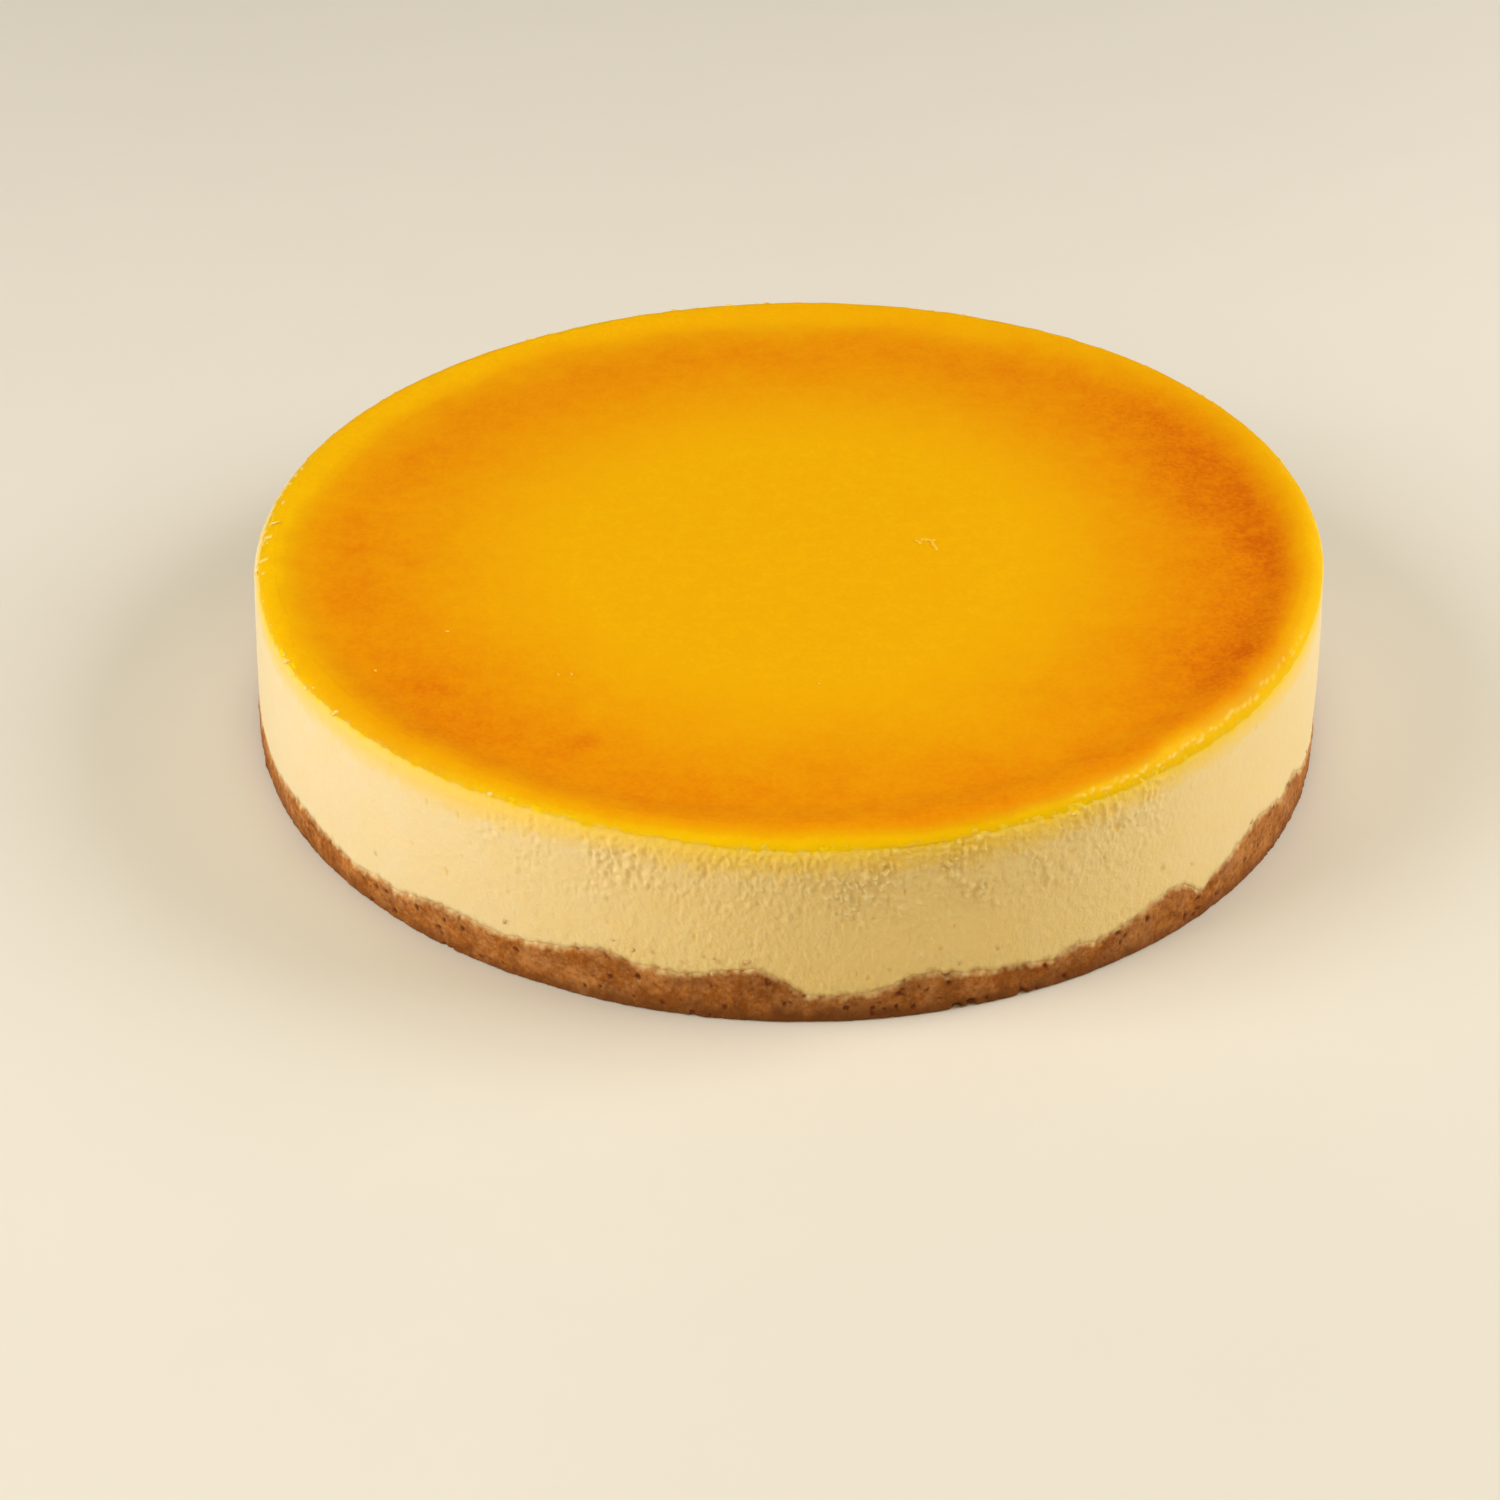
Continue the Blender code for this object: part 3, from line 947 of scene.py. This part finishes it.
def makeCreamSide():
    info = sideInfo
    steps = info["steps"]
    bearing = bearings(steps)
    skinStop = stopArc(bearing)
    startArc = skinStop - info["under"]
    endArc = arcDownTo(bearing, crumbLine(bearing) - info["tuck"])
    shares = np.linspace(0, 1, info["rows"] + 1) ** info["crowd"]
    arc = startArc + (endArc - startArc) * shares[:, None]
    radius, height, out, up = sidePoint(bearing, arc, 0.0)
    around = np.broadcast_to(bearing, arc.shape)
    place = polar(around, radius, height)
    low = crumbLine(bearing)
    share = (height - low) / (height[0] - low)
    relief, raised = sideRelief(around, place, share)
    tint, pits = pitShape(around, height, share)
    clear = soft((arc - skinStop) / info["underFade"])
    relief = (relief - info["pitDepth"] * pits) * (info["underRelief"] + (1 - info["underRelief"]) * clear)
    relief = relief - info["underDrop"] * (1 - clear)
    radius = radius + relief * out
    height = height + relief * up
    aboveLine = height - low
    radius = radius - info["behind"] * (1 - soft(aboveLine / (0.6 * mm) + 1))
    # pits get the skin's and the crumb's colour, as painted shade
    skinTint, crumbTint = info["pitShadeTint"]
    # lumps lose some skin colour and deep tone: partly paler torn cream, partly a painted highlight
    skinLoss, deepLoss = info["lumpPaleHighlight"]
    skin = np.maximum(skinShare(bearing, arc, place), skinTint * tint) * (1 - skinLoss * raised)
    deep = deepToneAndWarmBounce(around) * (1 - deepLoss * raised)
    stain = np.maximum(crumbShare(aboveLine, place), crumbTint * tint)
    for centre, level, half in info["grains"]:
        spot = oval(around, height, centre, level, half, half, info["spotEdge"])
        stain = np.maximum(stain, info["grainTint"] * spot)
    rings, painted, addRing = startRings(skin=0.0, stain=0.0, deep=0.0)
    ceiling = middleHeight - info["ceiling"]
    for part, reach in info["topRings"]:
        addRing(polar(bearings(steps // part), reach * mm, ceiling))
    addRing(polar(bearing, radius[0] - 2.5 * mm, height[0] - 0.6 * mm))
    for row in range(info["rows"] + 1):
        addRing(polar(bearing, radius[row], height[row]), skin=skin[row], stain=stain[row], deep=deep[row])
    addRing(polar(bearing, radius[-1] - 3 * mm, height[-1] + 0.3 * mm))
    for part, reach in info["bottomRings"]:
        turn = bearings(steps // part)
        addRing(polar(turn, reach * mm, baseTop(turn, reach * mm)))
    points, faces = joinRings(rings, painted, (0, 0, ceiling), (0, 0, meanLine))
    turns = np.arctan2(points[:, 1], points[:, 0])
    painted["rough"] = np.clip(arcs(turns, info["roughArcs"]) + 0.5 * arcs(turns, info["grainArcs"]), 0, 1)
    return makePiece("cream_filling", points, faces, cheeseMaterial, painted)


creamSide = makeCreamSide()
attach(creamSide, "root")
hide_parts("cheese_filling")
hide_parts("cheese_filling")
print("cream side:", len(creamSide.data.polygons), "faces")


# the crumb base

baseInfo = {
    "steps": 2000,
    "rows": 26,
    "buried": 0.5 * mm,         # how far its face goes up inside the cream
    "drawnIn": 0.45 * mm,       # and how far in it goes there
    "flush": (0.2 * mm, 1.4 * mm),      # it comes out of the cream's face from and over this
    "foot": 0.3 * mm,           # rounding of its lower edge
    "footRows": 4,
    "topRings": [(8, 42), (4, 84), (2, 104)],       # hidden ones: steps are divided by, radius in mm
    "bottomRings": [(1, 116.5), (2, 114), (4, 106), (8, 90), (8, 60), (8, 30)],
    "crumb": 1.2 * mm,          # size of a crumb
    "crumbHeight": 0.06 * mm,
    "crumbSeed": 9.1,
    "missing": 0.05,            # share of the crumbs that has fallen out
    "missingDepth": 0.35 * mm,
    "waves": [(0.14, 6, 2.9), (0.17, 2.6, 3.7), (0.09, 1.0, 14.2)],    # pressed lumps and grain
    "shaded": 5.0 * mm,         # under this height the crumb is painted darker, as shade
    "shadedWaves": [(2.0, 3, 21.0)],
    "shade": 0.7,
    "shadeArcs": [(-82, 30, 0.32)],       # and painted shade there at every height
    "shadeWaves": [(1.2, 5, 22.0)],
    # hollows: bearing, height, half width, half height and depth, in mm; they are also darkened as painted
    # shade
    "hollows": [(-86.5, 7.0, 0.7, 1.0, 0.7), (-79, 6, 0.8, 0.7, 0.5), (-74, 7, 0.6, 0.6, 0.5),
                (-127, 4, 0.9, 0.6, 0.6), (-136, 5, 0.6, 0.8, 0.5), (-149, 4, 0.7, 0.6, 0.5),
                (-73, 0.6, 1.1, 0.7, 1.3), (-71.5, 0.9, 1.1, 0.8, 1.3), (-66, 0.6, 0.9, 0.6, 1.0),
                (64, 5, 0.8, 0.8, 0.6), (118, 4, 0.7, 0.7, 0.5), (12, 6, 0.6, 0.8, 0.5)],
    "hollowEdge": 1.5,          # their sharpness
}


def crumbRelief(place, size, seed, missing):
    # rounded crumbs pressed together, some of them fallen out; the second value marks the hollows they leave,
    # which are painted dark as shade
    spots = (place / size + seed).reshape(-1, 3).tolist()
    relief = np.empty(len(spots))
    hollow = np.empty(len(spots))
    for i, spot in enumerate(spots):
        distances, centres = noise.voronoi(spot)
        edge = distances[1] - distances[0]
        gone = noise.cell(centres[0] * 7.31) < 2 * missing - 1      # cell runs from -1 to 1
        relief[i] = min(edge * 1.6, 1.0) - 0.5
        hollow[i] = min(edge * 3.0, 1.0) if gone else 0.0
    return relief.reshape(place.shape[:-1]), hollow.reshape(place.shape[:-1])


def makeCrumbBase():
    info = baseInfo
    steps = info["steps"]
    bearing = bearings(steps)
    line = crumbLine(bearing)
    outer = footRound(bearing)
    start = line + info["buried"]
    height = start + (info["foot"] - start) * np.linspace(0, 1, info["rows"] + 1)[:, None]
    around = np.broadcast_to(bearing, height.shape)
    place = polar(around, outer, height)
    crumbs, hollow = crumbRelief(place, info["crumb"], info["crumbSeed"], info["missing"])
    depth = info["crumbHeight"] * crumbs - info["missingDepth"] * hollow + waves(place, info["waves"])
    for centre, level, wide, tall, deep in info["hollows"]:
        shape = oval(around, height, centre, level, wide, tall, info["hollowEdge"])
        depth -= deep * mm * shape
        hollow = np.maximum(hollow, shape)
    aboveLine = height - line
    wall = wallRound(bearing)
    flushFrom, flushOver = info["flush"]
    behind = (outer - wall + 0.1 * mm) * (1 - soft((flushFrom - aboveLine) / flushOver))
    radius = outer + depth - behind - info["drawnIn"] * soft(aboveLine / info["buried"])
    soak = (1 - crumbShare(aboveLine, polar(around, wall, height))) * (1 - 0.4 * hollow)
    # painted shade on the crumb's face: towards the bottom and on the near side
    shadeTop = info["shaded"] + waves(place, info["shadedWaves"])
    low = info["shade"] * soft((shadeTop - height) / info["shaded"])
    low = low + arcs(around, info["shadeArcs"]) * (1 + waves(place, info["shadeWaves"], 1))
    low = np.clip(low, 0, 1)
    rings, painted, addRing = startRings(hollow=0.0, soak=0.0, low=0.0)
    for part, reach in info["topRings"]:
        turn = bearings(steps // part)
        addRing(polar(turn, reach * mm, baseTop(turn, reach * mm) - 0.05 * mm))
    addRing(polar(bearing, outer - 3 * mm, line + 0.3 * mm))
    for row in range(info["rows"] + 1):
        addRing(polar(bearing, radius[row], height[row]), hollow=hollow[row], soak=soak[row], low=low[row])
    for row in range(1, info["footRows"] + 1):
        share = row / info["footRows"]
        roundIn = info["foot"] * (1 - math.cos(share * math.pi / 2))
        up = info["foot"] * (1 - math.sin(share * math.pi / 2))
        addRing(polar(bearing, radius[-1] - roundIn, up), hollow=hollow[-1] * (1 - share), low=low[-1])
    for part, reach in info["bottomRings"]:
        addRing(polar(bearings(steps // part), reach * mm, 0.0))
    points, faces = joinRings(rings, painted, (0, 0, meanLine), (0, 0, 0))
    return makePiece("biscuit_base", points, faces, crumbMaterial, painted)


crumbBase = makeCrumbBase()
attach(crumbBase, "root")
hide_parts("crumb_base")
print("crumb base:", len(crumbBase.data.polygons), "faces")


# torn flakes, stray crumbs and the marks on the top

bitsInfo = {
    "flakes": 170,              # pale ones along the torn edge of the skin
    "flakeStretch": (12, 218),  # degrees round the back that have most of them
    "frontFlakes": 14,
    "frontStretch": (-170, 10),
    "frontSize": 0.6,           # of the others' size
    "crumbs": 18,               # brown grains pressed into the cream over the crumb
    # tears that reach in over the lip: bearing and arc, with their half sizes in mm
    "tears": [(178.5, 1.3, 1.3, 0.5), (-178.5, 1.8, 1.2, 0.6), (174, 1.0, 0.9, 0.5), (180, 3.6, 0.9, 0.5),
              (166, 1.6, 0.7, 0.4), (-171, 2.6, 0.8, 0.4)],
    # flecks on the top: bearing, radius, half length and half width in mm
    "flecks": [(-1, 30.6, 2.1, 0.5), (-5, 32.4, 2.3, 0.45), (-3, 29.0, 1.2, 0.4), (-151, 84, 0.5, 0.4),
               (-129, 73, 0.45, 0.35), (-130.5, 75, 0.35, 0.3), (-147, 104, 0.5, 0.4), (-84, 60, 0.3, 0.3)],
    "fleckHeight": 0.26 * mm,
    "dent": 0.8,
    "seed": 23,
}


def makeBits(name, bits, material, **painted):
    # each bit is a squashed, dented ball: place, outward direction, half sizes in mm and turn
    shape = bmesh.new()
    for number, (place, outward, halfSizes, turn) in enumerate(bits):
        lie = Vector(outward).to_track_quat("Z", "Y").to_matrix().to_4x4() @ Matrix.Rotation(turn, 4, "Z")
        for vertex in bmesh.ops.create_icosphere(shape, subdivisions=2, radius=1.0)["verts"]:
            dent = 1 + bitsInfo["dent"] * noise.noise(vertex.co * 1.3 + Vector((number * 3.7, 0, 0)))
            local = Vector([part * half * dent for part, half in zip(vertex.co, halfSizes)])
            vertex.co = Vector(place) + (lie @ local.to_4d()).xyz
    points = np.array([vertex.co[:] for vertex in shape.verts])
    faces = [[vertex.index for vertex in face.verts] for face in shape.faces]
    shape.free()
    values = {key: np.full(len(points), number) for key, number in painted.items()}
    return makePiece(name, points, faces, material, values)


def lipSpot(bearing, arc, proud):
    at = oneBearing(bearing)
    radius, height, out, up = sidePoint(at, np.array([arc]), proud)
    outward = (math.cos(at[0]) * out[0], math.sin(at[0]) * out[0], up[0])
    return polar(at, radius, height)[0].tolist(), outward


def tornFlakes():
    info = bitsInfo
    rng = np.random.default_rng(info["seed"])
    spread = [rng.uniform(*info["flakeStretch"]) for _ in range(info["flakes"])]
    spread += [rng.uniform(*info["frontStretch"]) for _ in range(info["frontFlakes"])]
    bits = []
    for bearing in spread:
        arc = float(stopArc(oneBearing(bearing))[0]) + rng.uniform(-1.2, 1.0) * mm
        place, outward = lipSpot(bearing, arc, -0.03 * mm)
        size = 0.16 + 0.5 * rng.random() ** 2.5
        if bearing < info["frontStretch"][1]:
            size = size * info["frontSize"]
        halfSizes = (size * 1.7 * mm, size * mm, size * rng.uniform(0.4, 0.8) * mm)
        bits.append((place, outward, halfSizes, rng.uniform(0, math.pi)))
    for bearing, arc, long, wide in info["tears"]:
        place, outward = lipSpot(bearing, arc * mm, -0.1 * mm)
        bits.append((place, outward, (wide * mm, long * mm, 0.3 * mm), rng.normal(0.3, 0.9)))
    return bits


def strayCrumbs():
    rng = np.random.default_rng(bitsInfo["seed"] + 1)
    spread = []
    for _ in range(bitsInfo["crumbs"]):
        bearing = rng.choice([rng.normal(-95, 30), rng.uniform(-180, 180)])
        spread.append((bearing, (0.6 + 4.5 * rng.random() ** 2.5) * mm))
    bits = []
    for bearing, above in spread:
        at = oneBearing(bearing)
        place, outward = lipSpot(bearing, float(arcDownTo(at, crumbLine(at) + above)[0]), 0.02 * mm)
        size = rng.uniform(0.3, 0.55)
        halfSizes = (size * mm, size * rng.uniform(0.8, 1.6) * mm, 0.18 * mm)
        bits.append((place, outward, halfSizes, rng.uniform(0, math.pi)))
    return bits


def topFlecks():
    bits = []
    for bearing, reach, long, wide in bitsInfo["flecks"]:
        place = topPoint(oneBearing(bearing), reach * mm)[0].tolist()
        bits.append((place, (0, 0, 1), (long * mm, wide * mm, bitsInfo["fleckHeight"]), 0.25 * bearing))
    return bits


flakeLook = {
    "pale": (0.90, 0.66, 0.22),
    "deep": (0.88, 0.56, 0.06),
    "fleck": (0.97, 0.66, 0.08),
    "cloud": (400.0, 1500.0, 0.5, 0.0, 1.0),
}


def makeFlakeMaterial(name, first, second):
    material, tree, shader = newMaterial(name)
    cloud = mottle(tree, ownPlace(tree), *flakeLook["cloud"])
    feed(tree, shader, {
        "Base Color": mixColours(tree, cloud, first, second), "Roughness": 0.6, "Specular IOR Level": 0.1})
    return material


flakeMaterial = makeFlakeMaterial("tornSkin", flakeLook["pale"], flakeLook["deep"])
fleckMaterial = makeFlakeMaterial("paleFleck", flakeLook["fleck"], cheeseLook["amber"])
bitPieces = [
    makeBits("torn_flakes", tornFlakes(), flakeMaterial),
    makeBits("top_flecks", topFlecks(), fleckMaterial),
    makeBits("stray_crumbs", strayCrumbs(), crumbMaterial, soak=0.6),
]
for bitPiece, slot in zip(bitPieces, ("baked_cheese", "baked_cheese", "biscuit_crumb")):
    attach(bitPiece, "root")
print("flakes, flecks and crumbs made")


# floor, light and camera

stageInfo = {
    "floor": (0.75, 0.70, 0.58),
    "floorDim": 0.97,               # how dim its slightly darker patches are
    "floorCloud": (3.0, 40.0, 0.2, 0.0, 1.0),
    "floorHalf": 12.0,
    "floorHeight": -0.2 * mm,
    "world": (1.0, 0.93, 0.72),
    "worldStrength": 0.20,
    "lampSize": 0.8,
    "lampDistance": 1.3,
    "lampAim": (0, 0, 0.02),
    "lamps": [
        # name, bearing, height angle, watts, colour
        ("leftSoftbox", 200, 35, 13.7, (0.95, 0.94, 1.0)),
        ("rightSoftbox", 5, 35, 14.1, (0.95, 0.94, 1.0)),
        ("backSoftbox", 90, 60, 0.9, (1.0, 0.98, 0.94)),
        ("frontGlow", -90, 38, 2.8, (1.0, 0.82, 0.38)),
    ],
}


def makeFloor():
    material, tree, shader = newMaterial("paleFloor")
    pale = stageInfo["floor"]
    dimmer = tuple(stageInfo["floorDim"] * part for part in pale)
    cloud = mottle(tree, ownPlace(tree), *stageInfo["floorCloud"])
    feed(tree, shader, {
        "Base Color": mixColours(tree, cloud, pale, dimmer), "Roughness": 0.9, "Specular IOR Level": 0.1})
    mesh = bpy.data.meshes.new("floor")
    half, level = stageInfo["floorHalf"], stageInfo["floorHeight"]
    corners = [(-half, -half, level), (half, -half, level), (half, half, level), (-half, half, level)]
    mesh.from_pydata(corners, [], [(0, 1, 2, 3)])
    mesh.materials.append(material)
    floor = bpy.data.objects.new("floor", mesh)
    bpy.context.scene.collection.objects.link(floor)


def makeWorld():
    world = bpy.data.worlds.new("studio")
    world.use_nodes = True
    feed(world.node_tree, world.node_tree.nodes["Background"], {
        "Color": stageInfo["world"], "Strength": stageInfo["worldStrength"]})
    bpy.context.scene.world = world


def makeLamps():
    for name, bearing, rise, watts, colour in stageInfo["lamps"]:
        lamp = bpy.data.lights.new(name, "AREA")
        lamp.shape = "SQUARE"
        lamp.size = stageInfo["lampSize"]
        lamp.energy = watts
        lamp.color = colour
        holder = bpy.data.objects.new(name, lamp)
        turn, up = math.radians(bearing), math.radians(rise)
        away = Vector((math.cos(turn) * math.cos(up), math.sin(turn) * math.cos(up), math.sin(up)))
        holder.location = stageInfo["lampDistance"] * away
        facing = Vector(stageInfo["lampAim"]) - holder.location
        holder.rotation_euler = facing.to_track_quat("-Z", "Y").to_euler()
        bpy.context.scene.collection.objects.link(holder)


cameraInfo = {
    "lens": 82.3,
    "elevation": 34.1,
    "roll": 1.0,
    "unit": 120 * mm,               # the tin's radius, in which the next two are given
    "distance": 6.68,
    "aim": (-0.067, 0.0, -0.124),
}


def makeCamera():
    info = cameraInfo
    up = math.radians(info["elevation"])
    tip = math.radians(info["roll"])
    back = Vector((0, -math.cos(up), math.sin(up)))
    level = Vector((1, 0, 0))
    above = back.cross(level)
    right = level * math.cos(tip) + above * math.sin(tip)
    top = above * math.cos(tip) - level * math.sin(tip)
    lens = bpy.data.cameras.new("camera")
    lens.lens = info["lens"]
    lens.sensor_width = 36
    lens.clip_start = 0.01
    lens.clip_end = 60
    camera = bpy.data.objects.new("camera", lens)
    turned = Matrix((right, top, back)).transposed().to_4x4()
    spot = Vector(info["aim"]) * info["unit"] + back * info["distance"] * info["unit"]
    camera.matrix_world = Matrix.Translation(spot) @ turned
    bpy.context.scene.collection.objects.link(camera)
    bpy.context.scene.camera = camera


makeFloor()
makeWorld()
makeLamps()
makeCamera()
bpy.context.scene.view_settings.view_transform = "Standard"
print("stage set")
